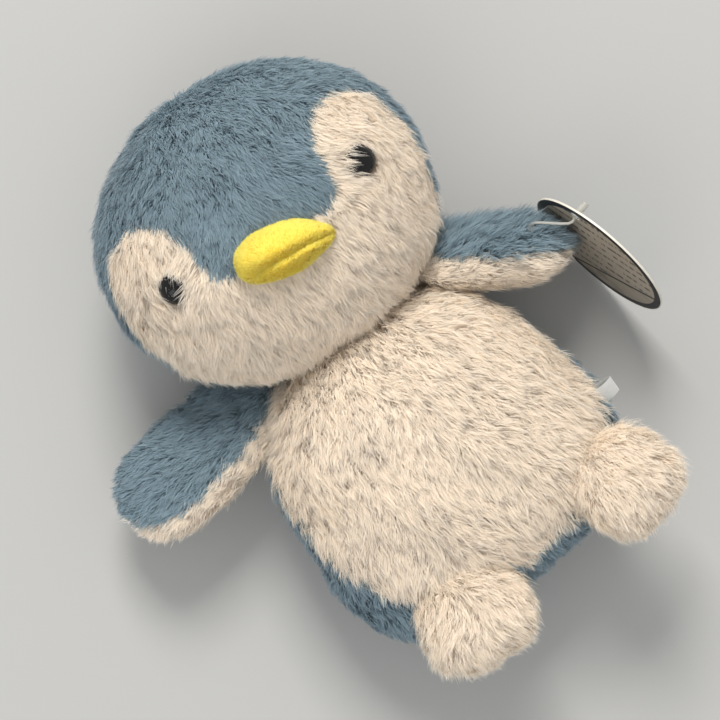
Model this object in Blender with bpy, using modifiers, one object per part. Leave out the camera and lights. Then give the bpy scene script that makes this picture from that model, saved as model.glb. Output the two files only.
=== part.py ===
"""A plush penguin lying on its back: sewn pile-fabric panels over fibre filling, with safety eyes,
a padded beak, two flippers, two feet, a folded care label and a round swing tag on a plastic pin.

Metres. +Z is up, away from the floor; +Y runs from the feet to the head; +X is the tag's side.
The origin is the middle of the bottom of the whole object's box."""

import math

import bmesh
import bpy
from mathutils import Matrix, Vector

# ---- driving dimensions, in metres and degrees ----
ORIGIN = Vector((-0.0090909, 0.0415320, 0.0))  # the box's bottom centre, in the layout's coordinates

PANEL = 0.0038  # a fabric panel: knitted backing and combed pile together
LIMB_PANEL = 0.0030
BEAK_PANEL = 0.0016
GAP = 0.0003  # between pieces that touch
PLAY = 0.0010  # between pieces that move against each other
HEAD_PLAY = 0.0030  # round the head, whose long facets sweep further as it turns

HULL_MERGE = 0.0022  # points of a swept cutter nearer than this become one

HEAD_CENTRE = Vector((0.0, 0.1030, 0.0460))
HEAD_HALF = (0.0650, 0.0560)  # across, and from chin to crown
HEAD_FRONT, HEAD_BACK = 0.0450, 0.0490  # depth in front of the side seam, and behind it
HEAD_LEAN = math.radians(-6.4)  # the head's turn about Z against the body

TORSO_CENTRE = Vector((-0.0091, -0.0040, 0.0340))
TORSO_HALF = (0.0600, 0.0600)
TORSO_FRONT, TORSO_BACK = 0.0370, 0.0370
TORSO_TAPER = 0.14  # how much narrower the shoulders are than the hips
TORSO_ROUND, TORSO_END_ROUND = 2.8, 2.4
BELLY_RISE = 0.0093  # from the torso's centre up to the seam round the belly
BELLY_NORMAL = Vector((0.09, 0.26, 1.00))  # that seam's plane is higher at the hips and on the -X side

NECK_PIVOT = Vector((-0.0062, 0.0480, 0.0420))
NECK_BALL = 0.0105
TILT_RANGE = (-5.0, 5.0)
NOD_RANGE = (-2.0, 12.0)

EYE_AT = (0.0414, -0.0033)  # from the head's centre, across and up
EYE_RADIUS, EYE_HEIGHT, EYE_SINK = 0.0062, 0.0050, 0.0016
SHANK_RADIUS, SHANK_LENGTH = 0.0022, 0.0140
RIB_FIRST, RIB_STEP, RIB_SWELL, RIBS = -0.0062, 0.0026, 1.18, 3  # the shank's ribs, down from the dome
SEAT_DEPTH = 0.0028  # how far the dome's seat goes into the pile
WASHER_RADIUS, WASHER_THICK = 0.0070, 0.0018
WASHER_SINK = 0.0020  # from the panel's inner side to the washer, over the panel's curve

BEAK_AT = -0.0152  # from the head's centre towards the chin
BEAK_HALF = (0.0195, 0.0108, 0.0138)
BEAK_SLIM, BEAK_LIP, BEAK_SINK = 0.14, 0.86, 0.0010  # thinner corners, a thinner lower half, and set back
BEAK_TURN = math.radians(-12.6)
MOUTH_DROP = 0.0030  # the mouth line lies this far on the chin's side of the beak's middle
MOUTH_TURN = math.radians(-96.0)

WING_ROUND, WING_ROOT = 3.0, 0.85
HINGE_OUT = 0.0012  # a wing's hinge line lies this far outside the side seam
ROOT_THIN = 0.55  # a limb's thickness at its root, as a share of its thickness at its free end
WING_FOLD = (-5.0, 35.0)
FOOT_BEND = (-10.0, 20.0)
FOOT_ROUND = 2.5
FOOT_RISE = math.radians(16.0)
FOOT_ROOT = 0.80
FOOT_HINGE = Vector((0.0350, -0.0440, 0.0520))  # of the foot on the +X side, before FOOT_SHIFT
FOOT_SHIFT = 0.0005
FOOT_OVERLAP = Vector((0.0, 0.0070, -0.0010))  # from the hinge to the root that is cut to the belly
FOOT_SPLAY = 0.10

TAG_RADIUS, TAG_THICK, TAG_HOLE = 0.0300, 0.0008, 0.0022
TAG_CENTRE = Vector((0.0862, 0.0120, 0.0298))
TAG_LEAN, TAG_TURN = math.radians(11.0), math.radians(7.5)
TAG_HOLE_AT = (0.0165, 0.0190)  # from the card's centre, towards the head and up
PIN_RADIUS = 0.0005
PIN_AT = (0.20, 0.55, 0.98)  # the direction from the flipper's middle to the pin's foot
PIN_CLEAR = 0.0012  # from the flipper's surface to the pin's foot
NUB_RADIUS, NUB_LENGTH, FOOT_RADIUS = 0.0014, 0.0042, 0.0015

LABEL_SIZE = (0.0080, 0.0100, 0.0010)  # out of the seam, along it, folded thickness
LABEL_TWIST = math.radians(50.0)  # about its way out of the seam
LABEL_AT, LABEL_CLEAR = -0.0270, 0.0016

COLOURS = {
    "blue_pile": ((0.24, 0.33, 0.38), 0.95),
    "cream_pile": ((0.80, 0.71, 0.60), 0.95),
    "yellow_velour": ((0.85, 0.66, 0.10), 0.90),
    "fibre": ((0.92, 0.92, 0.90), 1.00),
    "black_plastic": ((0.01, 0.01, 0.01), 0.12),
    "clear_nylon": ((0.85, 0.85, 0.82), 0.35),
    "white_satin": ((0.90, 0.90, 0.88), 0.45),
    "tag_card": ((0.30, 0.30, 0.29), 0.55),
}


# ---- scene, collections and materials ----
def clear_scene():
    for obj in list(bpy.data.objects):
        bpy.data.objects.remove(obj, do_unlink=True)


def new_collection(name):
    collection = bpy.data.collections.new(name)
    bpy.context.scene.collection.children.link(collection)
    return collection


def material(slot):
    """The slot's material, made the first time that it's asked for."""
    found = bpy.data.materials.get(slot)
    if found:
        return found
    colour, roughness = COLOURS[slot]
    made = bpy.data.materials.new(slot)
    made.use_nodes = True
    shader = made.node_tree.nodes["Principled BSDF"]
    shader.inputs["Base Color"].default_value = (*colour, 1.0)
    shader.inputs["Roughness"].default_value = roughness
    shader.inputs["Metallic"].default_value = 0.0
    return made


def object_from(bm, name, slot=None):
    """A mesh object in the penguin's collection, or a hidden cutter if it has no material slot."""
    mesh = bpy.data.meshes.new(name)
    bm.to_mesh(mesh)
    bm.free()
    obj = bpy.data.objects.new(name, mesh)
    if slot:
        parts.objects.link(obj)
        mesh.materials.append(material(slot))
        mesh.shade_smooth()
    else:
        cutters.objects.link(obj)
        obj.hide_render = True
        obj.display_type = "WIRE"
    return obj


def combine(obj, operation, *others):
    """Boolean modifiers on obj, one for each other object."""
    for other in others:
        step = obj.modifiers.new(operation.title(), "BOOLEAN")
        step.operation = operation
        step.solver = "EXACT"
        step.object = other
    return obj


# ---- placing ----
def turn_about(point, axis, degrees):
    """The matrix that turns by degrees about an axis through a point."""
    turn = Matrix.Rotation(math.radians(degrees), 4, Vector(axis))
    return Matrix.Translation(point) @ turn @ Matrix.Translation(-point)


def frame_matrix(origin, along, normal):
    """A frame at origin whose Y runs along, and whose Z is as near normal as it can be."""
    y = Vector(along).normalized()
    z = (Vector(normal) - y * y.dot(Vector(normal))).normalized()
    x = y.cross(z)
    rotation = Matrix((x, y, z)).transposed().to_4x4()
    return Matrix.Translation(origin) @ rotation


HEAD_FRAME = Matrix.Translation(HEAD_CENTRE) @ Matrix.Rotation(HEAD_LEAN, 4, "Z")


# ---- forms: each takes a point of the unit sphere and an inset, and gives the form's point ----
def round_off(t, power):
    """A superellipse's height over its half width t."""
    return max(0.0, 1.0 - min(1.0, abs(t)) ** power) ** (1.0 / power)


def head_form(p, inset):
    """An ellipsoid, fuller at the cheeks and flatter behind the side seam than before it."""
    depth = HEAD_FRONT if p.z > 0 else HEAD_BACK
    cheek = 1.0 + 0.05 * max(0.0, -p.y) * abs(p.x)
    local = Vector((
        p.x * (HEAD_HALF[0] - inset) * cheek,
        p.y * (HEAD_HALF[1] - inset) * cheek,
        p.z * (depth - inset),
    ))
    return HEAD_FRAME @ local


def torso_half_width(t, inset=0.0):
    return (TORSO_HALF[0] - inset) * round_off(t, TORSO_ROUND) * (1.0 - TORSO_TAPER * t)


def torso_form(p, inset):
    """A pear: its width and depth along Y follow superellipses, and its sections are ellipses."""
    ring = max(1e-9, math.hypot(p.x, p.z))
    depth = TORSO_FRONT if p.z > 0 else TORSO_BACK
    return TORSO_CENTRE + Vector((
        p.x / ring * torso_half_width(p.y, inset),
        p.y * (TORSO_HALF[1] - inset),
        p.z / ring * (depth - inset) * round_off(p.y, TORSO_END_ROUND),
    ))


def paddle_form(size, frame, root_share, end_round):
    """A flipper or foot: broad and round at its free end, and thinner and narrower at its root."""
    half_width, length, half_thick = size

    def form(p, inset):
        ring = max(1e-9, math.hypot(p.x, p.z))
        end = (1.0 + p.y) / 2.0
        wide = (half_width - inset) * round_off(p.y, end_round)
        deep = (half_thick - inset) * round_off(p.y, 2.0)
        local = Vector((
            p.x / ring * wide * (root_share + (1.0 - root_share) * end),
            length / 2.0 + p.y * (length / 2.0 - inset),
            p.z / ring * deep * (ROOT_THIN + (1.0 - ROOT_THIN) * end),
        ))
        return frame @ local

    return form


def sphere_at(centre, radius):
    return lambda p, inset: centre + p * (radius - inset)


def solid(name, form, inset=0.0, slot=None, segments=22, rings=14):
    """The closed form: a UV sphere with every vertex moved to its place."""
    bm = bmesh.new()
    bmesh.ops.create_uvsphere(bm, u_segments=segments, v_segments=rings, radius=1.0)
    for vertex in bm.verts:
        vertex.co = form(vertex.co.normalized(), inset)
    bmesh.ops.remove_doubles(bm, verts=bm.verts, dist=0.00002)
    return object_from(bm, name, slot)


def block(name, low, high, frame=Matrix.Identity(4)):
    """A box cutter between two corners, in a frame."""
    bm = bmesh.new()
    bmesh.ops.create_cube(bm, size=1.0)
    size = Vector(high) - Vector(low)
    middle = (Vector(high) + Vector(low)) / 2.0
    for vertex in bm.verts:
        vertex.co = frame @ (Vector([vertex.co[i] * size[i] for i in range(3)]) + middle)
    return object_from(bm, name)


def cylinder(name, frame, radius, low, high, slot=None, segments=24):
    """A cylinder along the frame's Z from low to high."""
    bm = bmesh.new()
    bmesh.ops.create_cone(
        bm, cap_ends=True, segments=segments, radius1=radius, radius2=radius, depth=high - low
    )
    for vertex in bm.verts:
        vertex.co = frame @ (vertex.co + Vector((0.0, 0.0, (low + high) / 2.0)))
    return object_from(bm, name, slot)


FAR = 0.30


def before_plane(name, frame, side, offset=0.0):
    """Everything on one side of a frame's XY plane, for keeping half of a form."""
    if side > 0:
        return block(name, (-FAR, -FAR, offset), (FAR, FAR, FAR), frame)
    return block(name, (-FAR, -FAR, -FAR), (FAR, FAR, -offset), frame)


def shell(name, form, thick, slot, keep, **detail):
    """One fabric panel: the form, less its inner form, inside every block of keep."""
    panel = solid(name, form, 0.0, slot, **detail)
    inner = solid(name + "_inner", form, thick, None, **detail)
    combine(panel, "DIFFERENCE", inner)
    combine(panel, "INTERSECT", *keep)
    return panel


# ---- the face's outline, in the head's own plane ----
def smooth_through(points, steps=5):
    """Points along a Catmull-Rom curve through the given ones."""
    line = []
    for i in range(len(points) - 1):
        a, b, c, d = (
            Vector(points[min(max(k, 0), len(points) - 1)]) for k in range(i - 1, i + 3)
        )
        for k in range(steps):
            t = k / steps
            line.append(0.5 * (
                2.0 * b + (c - a) * t + (2.0 * a - 5.0 * b + 4.0 * c - d) * t * t
                + (3.0 * b - 3.0 * c + d - a) * t ** 3
            ))
    line.append(Vector(points[-1]))
    return line


def face_outline(grow):
    """The cream mask: a round lobe over each eye, joined under the beak and open at the chin."""
    half = [
        (0.0000, -0.0080), (0.0200, -0.0110), (0.0272, -0.0060), (0.0290, 0.0060),
        (0.0335, 0.0190), (0.0455, 0.0245), (0.0560, 0.0180), (0.0612, 0.0050),
        (0.0618, -0.0080), (0.0590, -0.0240), (0.0500, -0.0520), (0.0300, -0.0760),
    ]
    middle = Vector((0.040, -0.020))
    side = []
    for point in smooth_through(half):
        away = (point - middle).normalized()
        side.append(point + away * grow if point.x > 0.002 else point + Vector((0.0, grow)))
    return side + [Vector((-p.x, p.y)) for p in reversed(side[1:])]


def face_prism(name, grow):
    bm = bmesh.new()
    corners = [bm.verts.new((p.x, p.y, -0.0005)) for p in face_outline(grow)]
    face = bm.faces.new(corners)
    raised = bmesh.ops.extrude_face_region(bm, geom=[face])["geom"]
    for vertex in (item for item in raised if isinstance(item, bmesh.types.BMVert)):
        vertex.co.z = 0.09
    for vertex in bm.verts:
        vertex.co = HEAD_FRAME @ vertex.co
    bmesh.ops.recalc_face_normals(bm, faces=bm.faces)
    return object_from(bm, name)


# ---- moving frames ----
def head_moves(tilt, nod):
    """The head's place after the neck's tilt and nod, against its place at rest."""
    return turn_about(NECK_PIVOT, (0, 0, 1), tilt) @ turn_about(NECK_PIVOT, (1, 0, 0), nod)


def swept(name, form, moves, play=PLAY):
    """A cutter: the convex hull of a form, with play round it, at every place that it can take."""
    bm = bmesh.new()
    bmesh.ops.create_uvsphere(bm, u_segments=24, v_segments=16, radius=1.0)
    directions = [vertex.co.normalized() for vertex in bm.verts]
    bm.clear()
    for move in moves:
        for direction in directions:
            bm.verts.new(move @ form(direction, -play))
    bmesh.ops.remove_doubles(bm, verts=bm.verts, dist=HULL_MERGE)
    hull = bmesh.ops.convex_hull(bm, input=bm.verts)
    loose = {item for item in hull["geom_interior"] + hull["geom_unused"]
             if isinstance(item, bmesh.types.BMVert)}
    bmesh.ops.delete(bm, geom=list(loose), context="VERTS")
    return object_from(bm, name)


HEAD_PLACES = [
    head_moves(tilt, nod)
    for tilt in (TILT_RANGE[0], 0.0, TILT_RANGE[1])
    for nod in (NOD_RANGE[0], NOD_RANGE[1] / 2.0, NOD_RANGE[1])
]


# ---- head ----
def surface_frame(across, up):
    """A frame on the front of the head, with Z along the surface's outward normal."""
    u, v = across / HEAD_HALF[0], up / HEAD_HALF[1]
    w = math.sqrt(1.0 - u * u - v * v)
    point = Vector((across, up, w * HEAD_FRONT))
    normal = Vector((u / HEAD_HALF[0], v / HEAD_HALF[1], w / HEAD_FRONT))
    turned = HEAD_FRAME.to_3x3()
    return frame_matrix(HEAD_FRAME @ point, turned @ Vector((0, 1, 0)), turned @ normal)


def eye_frame(side):
    """The frame at the back of an eye's dome, whose Z looks out of the face."""
    frame = surface_frame(side * EYE_AT[0], EYE_AT[1])
    return frame_matrix(frame.translation, frame.to_3x3() @ Vector((0, 1, 0)), frame.col[2].xyz)


def make_eye(name, side):
    """A turned safety eye: a domed cap on a ribbed shank, as a profile with a Screw modifier."""
    frame = eye_frame(side)
    dome = [
        (EYE_RADIUS * math.cos(a), EYE_HEIGHT * math.sin(a) - EYE_SINK)
        for a in [math.radians(angle) for angle in range(90, -1, -18)]
    ]
    profile = dome + [(EYE_RADIUS * 0.94, -EYE_SINK - 0.0008), (SHANK_RADIUS, -EYE_SINK - 0.0010)]
    for rib in range(RIBS):
        z = RIB_FIRST - rib * RIB_STEP
        profile += [(SHANK_RADIUS, z + 0.0010), (SHANK_RADIUS * RIB_SWELL, z)]
    profile += [(SHANK_RADIUS * 0.8, -SHANK_LENGTH), (0.0, -SHANK_LENGTH)]
    bm = bmesh.new()
    line = [bm.verts.new((x, 0.0, z)) for x, z in profile]
    for a, b in zip(line, line[1:]):
        bm.edges.new((a, b))
    mesh = bpy.data.meshes.new(name)
    bm.to_mesh(mesh)
    bm.free()
    obj = bpy.data.objects.new(name, mesh)
    parts.objects.link(obj)
    mesh.materials.append(material("black_plastic"))
    obj.matrix_world = frame
    turn = obj.modifiers.new("Turn", "SCREW")
    turn.steps = turn.render_steps = 14
    turn.use_merge_vertices = True
    turn.merge_threshold = 0.00002
    turn.use_smooth_shade = True
    return obj


def make_washer(name, side):
    """The lock washer that holds an eye's shank behind the fabric."""
    frame = eye_frame(side)
    low = -PANEL - WASHER_SINK - WASHER_THICK
    washer = cylinder(name, frame, WASHER_RADIUS, low, low + WASHER_THICK, "clear_nylon")
    bore = cylinder(name + "_bore", frame, SHANK_RADIUS * RIB_SWELL + GAP, low - 0.001, 0.0)
    return combine(washer, "DIFFERENCE", bore)


def eye_pockets(side, name):
    """Cutters for an eye: the shank's hole, the dome's seat and the washer's room."""
    frame = eye_frame(side)
    shank = cylinder(
        f"{name}_hole", frame, SHANK_RADIUS * RIB_SWELL + GAP, -SHANK_LENGTH - 2 * GAP, 0.01
    )
    seat = cylinder(f"{name}_seat", frame, EYE_RADIUS + GAP, -SEAT_DEPTH, 0.012)
    room = cylinder(
        f"{name}_room", frame, WASHER_RADIUS + GAP,
        -PANEL - WASHER_SINK - WASHER_THICK - GAP, -PANEL,
    )
    return shank, seat, room


def make_head():
    front = before_plane("head_front_half", HEAD_FRAME, 1, GAP)
    back = before_plane("head_back_half", HEAD_FRAME, -1, 0.0)
    floor = block("floor_side", (-FAR, -FAR, 0.0), (FAR, FAR, FAR))
    mask, mask_room = face_prism("face_mask", 0.0), face_prism("face_mask_room", GAP)
    neck_room = solid("neck_room", sphere_at(NECK_PIVOT, NECK_BALL), -PLAY, None, 16, 12)

    cap = shell("head_cap", head_form, PANEL, "blue_pile", [front])
    combine(cap, "DIFFERENCE", mask_room)
    face = shell("face_panel", head_form, PANEL, "cream_pile", [front, mask])
    combine(face, "DIFFERENCE", neck_room)
    rear = shell("head_back", head_form, PANEL, "blue_pile", [back, floor])
    combine(rear, "DIFFERENCE", neck_room)
    filling = solid("head_filling", head_form, PANEL + GAP, "fibre")
    combine(filling, "DIFFERENCE", neck_room)
    for side, name in ((-1, "eye_left"), (1, "eye_right")):
        shank, seat, room = eye_pockets(side, name)
        combine(face, "DIFFERENCE", shank, seat)
        combine(filling, "DIFFERENCE", shank, room)
        make_eye(name, side)
        make_washer(name.replace("eye", "eye_washer"), side)
    make_beak()


def make_beak():
    """Two short-pile pads that meet on the mouth line, over a fibre core, on the face."""
    seat = surface_frame(0.0, BEAK_AT)
    forward = HEAD_FRAME.to_3x3() @ Vector((0.0, -0.10, 1.0))
    frame = frame_matrix(
        seat.translation, Matrix.Rotation(BEAK_TURN, 3, "Z") @ seat.col[1].xyz, forward
    )

    def form(p, inset):
        """A long almond: its height falls off towards its corners faster than an ellipsoid's."""
        slim = 1.0 - BEAK_SLIM * abs(p.x) ** 1.5
        lip = BEAK_LIP if p.y < 0 else 1.0
        return frame @ Vector((
            p.x * (BEAK_HALF[0] - inset),
            p.y * (BEAK_HALF[1] * slim * lip - inset),
            p.z * (BEAK_HALF[2] * slim - inset) - BEAK_SINK,
        ))

    mouth = frame @ Matrix.Translation((0, -MOUTH_DROP, 0)) @ Matrix.Rotation(MOUTH_TURN, 4, "X")
    above = before_plane("beak_above_mouth", mouth, 1, GAP / 2)
    below = before_plane("beak_below_mouth", mouth, -1, GAP / 2)
    head_room = solid("beak_seat", head_form, -GAP, None)
    for name, half in (("beak_upper", above), ("beak_lower", below)):
        pad = shell(name, form, BEAK_PANEL, "yellow_velour", [half], segments=20, rings=12)
        combine(pad, "DIFFERENCE", head_room)
    core = solid("beak_filling", form, BEAK_PANEL + GAP, "fibre", 16, 10)
    combine(core, "DIFFERENCE", head_room)


# ---- torso ----
def belly_seam():
    """The frame whose XY plane parts the belly panel from the back panels."""
    centre = TORSO_CENTRE + Vector((0.0, 0.0, BELLY_RISE))
    return frame_matrix(centre, BELLY_NORMAL.cross(Vector((1.0, 0.0, 0.0))), BELLY_NORMAL)


def make_torso():
    seam = belly_seam()
    front = before_plane("torso_front_half", seam, 1, GAP)
    back = before_plane("torso_back_half", seam, -1, 0.0)
    floor = bpy.data.objects["floor_side"]
    neck_room = bpy.data.objects["neck_room"]
    head_room = swept("head_room", head_form, HEAD_PLACES, HEAD_PLAY)
    centre = TORSO_CENTRE.x
    sides = {
        "back_panel_left": block("back_left_side", (-FAR, -FAR, -FAR), (centre - GAP / 2, FAR, FAR)),
        "back_panel_right": block("back_right_side", (centre + GAP / 2, -FAR, -FAR), (FAR, FAR, FAR)),
    }
    belly = shell("belly_panel", torso_form, PANEL, "cream_pile", [front])
    combine(belly, "DIFFERENCE", neck_room, head_room)
    for name, side in sides.items():
        panel = shell(name, torso_form, PANEL, "blue_pile", [side, floor])
        combine(panel, "DIFFERENCE", neck_room, head_room)
        combine(panel, "INTERSECT", back)
    filling = solid("body_filling", torso_form, PANEL + GAP, "fibre")
    combine(filling, "DIFFERENCE", neck_room, head_room)
    solid("neck_filling", sphere_at(NECK_PIVOT, NECK_BALL), 0.0, "fibre", 16, 12)


def side_seam_point(side, y):
    """The point of the torso's side seam at a height y, and the seam's direction there."""
    t = (y - TORSO_CENTRE.y) / TORSO_HALF[1]
    step = 0.001
    here = torso_half_width(t)
    next_one = torso_half_width(t + step / TORSO_HALF[1])
    along = Vector((side * (next_one - here), step, 0.0)).normalized()
    return Vector((TORSO_CENTRE.x + side * here, y, TORSO_CENTRE.z)), along


# ---- limbs ----
def make_limb(name, form, frame, slots, cutters_for_limb, detail=(16, 10)):
    """Two shells that meet on the frame's XY plane, and their filling."""
    segments, rings = detail
    upper = before_plane(name + "_upper_half", frame, 1, GAP / 2)
    lower = before_plane(name + "_lower_half", frame, -1, GAP / 2)
    made = []
    for (part, slot), half in zip(slots, (upper, lower)):
        made.append(shell(part, form, LIMB_PANEL, slot, [half], segments=segments, rings=rings))
    made.append(solid(name + "_filling", form, LIMB_PANEL + GAP, "fibre", segments, rings))
    for piece in made:
        combine(piece, "DIFFERENCE", *cutters_for_limb)


def limb_cutters(name, hinge, axis, angles, head_places=()):
    """Cutters that keep a limb clear of the torso and the head all through its motion."""
    moves = [turn_about(hinge, axis, -angle) for angle in angles]
    pairs = [move @ place for move in moves for place in head_places]
    found = [swept(name + "_torso", torso_form, moves)]
    return found + ([swept(name + "_head", head_form, pairs)] if pairs else [])


WINGS = {
    "left": {
        "side": -1, "seam_y": 0.0380, "half_width": 0.0225, "half_thick": 0.0120,
        "start": (-0.0330, 0.0550, 0.0290), "end": (-0.1120, 0.0510, 0.0290),
        "normal": (0.0, 0.360, 0.930), "seam": (0.0, 0.656, 0.755),
    },
    "right": {
        "side": 1, "seam_y": 0.0310, "half_width": 0.0200, "half_thick": 0.0140,
        "start": (0.0265, 0.0590, 0.0330), "end": (0.0795, 0.0217, 0.0330),
        "normal": (0.501, 0.706, 0.500), "seam": (0.573, 0.807, 0.139),
    },
}
FEET = {"left": (-1, (0.0240, 0.0400, 0.0150)), "right": (1, (0.0218, 0.0385, 0.0150))}


def wing_hinge(wing):
    """The wing's hinge line: the side seam of the torso, and the turn that lifts the wing's tip."""
    point, along = side_seam_point(wing["side"], wing["seam_y"])
    out = Vector((wing["side"] * along.y, -wing["side"] * along.x, 0.0))
    return point + out * HINGE_OUT, along * -wing["side"]


def make_wing(name, wing):
    """A flipper, whose seam's plane is turned about its length against its own flat side."""
    hinge, axis = wing_hinge(wing)
    start, end = Vector(wing["start"]), Vector(wing["end"])
    along = end - start
    size = (wing["half_width"], along.length, wing["half_thick"])
    form = paddle_form(size, frame_matrix(start, along, wing["normal"]), WING_ROOT, WING_ROUND)
    low, high = WING_FOLD
    angles = (low, (low + high) / 2.0, high)
    near = TILT_RANGE[1] if wing["side"] < 0 else TILT_RANGE[0]
    places = [head_moves(near, 0.0), head_moves(near, NOD_RANGE[1])]
    cut = limb_cutters(f"wing_{name}", hinge, axis, angles, places)
    slots = ((f"wing_{name}_outer", "blue_pile"), (f"wing_{name}_inner", "cream_pile"))
    make_limb(f"wing_{name}", form, frame_matrix(start, along, wing["seam"]), slots, cut)
    return form


def make_foot(name, side, size):
    """A cream paddle that stands out of the lower belly with its toes up."""
    hinge = Vector((side * FOOT_HINGE.x + FOOT_SHIFT, FOOT_HINGE.y, FOOT_HINGE.z))
    along = Vector((side * FOOT_SPLAY, -math.cos(FOOT_RISE), math.sin(FOOT_RISE)))
    normal = (0.0, math.sin(FOOT_RISE), math.cos(FOOT_RISE))
    frame = frame_matrix(hinge + FOOT_OVERLAP, along, normal)
    form = paddle_form(size, frame, FOOT_ROOT, FOOT_ROUND)
    low, high = FOOT_BEND
    cut = limb_cutters(f"foot_{name}", hinge, (-1, 0, 0), (low, (low + high) / 2.0, high))
    slots = ((f"foot_{name}_top", "cream_pile"), (f"foot_{name}_sole", "cream_pile"))
    make_limb(f"foot_{name}", form, frame, slots, cut)
    return hinge


# ---- tag and label ----
def tag_frame():
    """The card's frame at its centre: Y up the card, Z out of its back."""
    up = Vector((math.sin(TAG_LEAN), 0.0, math.cos(TAG_LEAN)))
    turned = Matrix.Rotation(TAG_TURN, 3, "Z")
    return frame_matrix(TAG_CENTRE, turned @ up, turned @ Vector((math.cos(TAG_LEAN), 0.0, 0.0)))


def make_tag(wing_form):
    frame = tag_frame()
    headward = -1.0 if frame.col[0].y < 0 else 1.0
    hole = frame @ Vector((headward * TAG_HOLE_AT[0], TAG_HOLE_AT[1], 0.0))
    out = frame.col[2].xyz
    half = TAG_THICK / 2.0
    card = cylinder("swing_tag", frame, TAG_RADIUS, -half, half, "tag_card", 48)
    hole_frame = frame.copy()
    hole_frame.translation = hole
    bore = cylinder("tag_bore", hole_frame, TAG_HOLE, -0.002, 0.002)
    combine(card, "DIFFERENCE", bore)
    make_pin(hole, out, wing_form)
    return hole, out


def make_pin(hole, out, wing_form):
    """A thin nylon pin: rooted in the flipper's outer side, through the card, with a nub at its end."""
    at = Vector(PIN_AT)
    root = wing_form(at, -PIN_CLEAR)
    outward = (wing_form(at, -2.0 * PIN_CLEAR) - root).normalized()
    route = smooth_through([
        root, root + outward * 0.0030, hole - out * 0.0040, hole, hole + out * 0.0022,
    ], 4)
    curve = bpy.data.curves.new("tag_pin_line", "CURVE")
    curve.dimensions = "3D"
    spline = curve.splines.new("POLY")
    spline.points.add(len(route) - 1)
    for point, place in zip(spline.points, route):
        point.co = (*place, 1.0)
    curve.bevel_depth = PIN_RADIUS
    curve.bevel_resolution = 2
    curve.use_fill_caps = True
    guide = bpy.data.objects.new("tag_pin_line", curve)
    cutters.objects.link(guide)
    bpy.context.view_layer.update()
    graph = bpy.context.evaluated_depsgraph_get()
    mesh = bpy.data.meshes.new_from_object(guide.evaluated_get(graph))
    bm = bmesh.new()
    bm.from_mesh(mesh)
    bmesh.ops.remove_doubles(bm, verts=bm.verts, dist=0.00001)
    pin = object_from(bm, "tag_pin", "clear_nylon")
    bpy.data.objects.remove(guide, do_unlink=True)
    frame = frame_matrix(hole + out * 0.0018, Vector((0, 0, 1)), out)
    nub = cylinder("pin_nub", frame, NUB_RADIUS, 0.0, NUB_LENGTH, None, 12)
    foot_frame = frame_matrix(root, out, outward)
    foot = cylinder("pin_foot", foot_frame, FOOT_RADIUS, -0.0003, 0.0006, None, 12)
    combine(pin, "UNION", nub, foot)


def make_label():
    """The care label: a satin strip folded in half, sewn into the belly's seam on the right."""
    point, along = side_seam_point(1, LABEL_AT)
    out = Vector((along.y, -along.x, 0.0))
    half_width = point.x - TORSO_CENTRE.x
    lift = BELLY_RISE - half_width * BELLY_NORMAL.x - (point.y - TORSO_CENTRE.y) * BELLY_NORMAL.y
    inward = half_width * (1.0 - math.sqrt(1.0 - (lift / TORSO_FRONT) ** 2))
    point = point + Vector((-inward, 0.0, lift)) + out * LABEL_CLEAR
    frame = frame_matrix(point, out, Matrix.Rotation(LABEL_TWIST, 3, out) @ Vector((0.0, 0.0, 1.0)))
    reach, wide, thick = LABEL_SIZE
    bm = bmesh.new()
    bmesh.ops.create_cube(bm, size=1.0)
    for vertex in bm.verts:
        local = Vector((vertex.co.x * wide, (vertex.co.y + 0.5) * reach, vertex.co.z * thick))
        vertex.co = frame @ local
    label = object_from(bm, "care_label", "white_satin")
    bevel = label.modifiers.new("Bevel", "BEVEL")
    bevel.width = thick * 0.4
    bevel.segments = 2


# ---- assembly ----
def report(name, point, axis):
    """Prints a joint's place and axis in the final coordinates."""
    place = Vector(point) - ORIGIN
    print(f"{name}: pos {tuple(round(c, 5) for c in place)} axis {tuple(round(c, 5) for c in axis)}")


clear_scene()
parts = new_collection("plush_penguin")
cutters = new_collection("cutters")
make_head()
make_torso()
wing_forms = {}
for wing_name, wing_sizes in WINGS.items():
    wing_forms[wing_name] = make_wing(wing_name, wing_sizes)
    report("wing_" + wing_name, *wing_hinge(wing_sizes))
for foot_name, foot_sizes in FEET.items():
    report("foot_" + foot_name, make_foot(foot_name, *foot_sizes), (-1, 0, 0))
report("neck", NECK_PIVOT, (0, 0, 1))
report("tag", *make_tag(wing_forms["right"]))
make_label()
for placed in list(parts.objects) + list(cutters.objects):
    placed.matrix_world = Matrix.Translation(-ORIGIN) @ placed.matrix_world
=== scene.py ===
import math
import bpy
import numpy as np
from mathutils import Matrix


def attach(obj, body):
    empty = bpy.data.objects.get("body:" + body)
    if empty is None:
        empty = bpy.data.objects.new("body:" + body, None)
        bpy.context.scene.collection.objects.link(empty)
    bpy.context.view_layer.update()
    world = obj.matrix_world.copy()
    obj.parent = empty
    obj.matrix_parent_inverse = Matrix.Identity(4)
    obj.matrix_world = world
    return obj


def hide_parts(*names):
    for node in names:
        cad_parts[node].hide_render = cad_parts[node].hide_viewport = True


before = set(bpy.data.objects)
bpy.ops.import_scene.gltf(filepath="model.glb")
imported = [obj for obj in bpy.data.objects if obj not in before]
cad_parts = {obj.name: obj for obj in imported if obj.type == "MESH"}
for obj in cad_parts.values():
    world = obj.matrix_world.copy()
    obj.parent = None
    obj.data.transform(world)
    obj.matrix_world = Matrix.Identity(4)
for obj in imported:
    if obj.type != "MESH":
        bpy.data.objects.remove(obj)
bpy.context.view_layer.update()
print("frame loaded")

# The layout's own coordinates, in which every piece below is given, less this point are the row frame's.
origin = np.array((-0.0090909, 0.0415320, 0.0))


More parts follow.
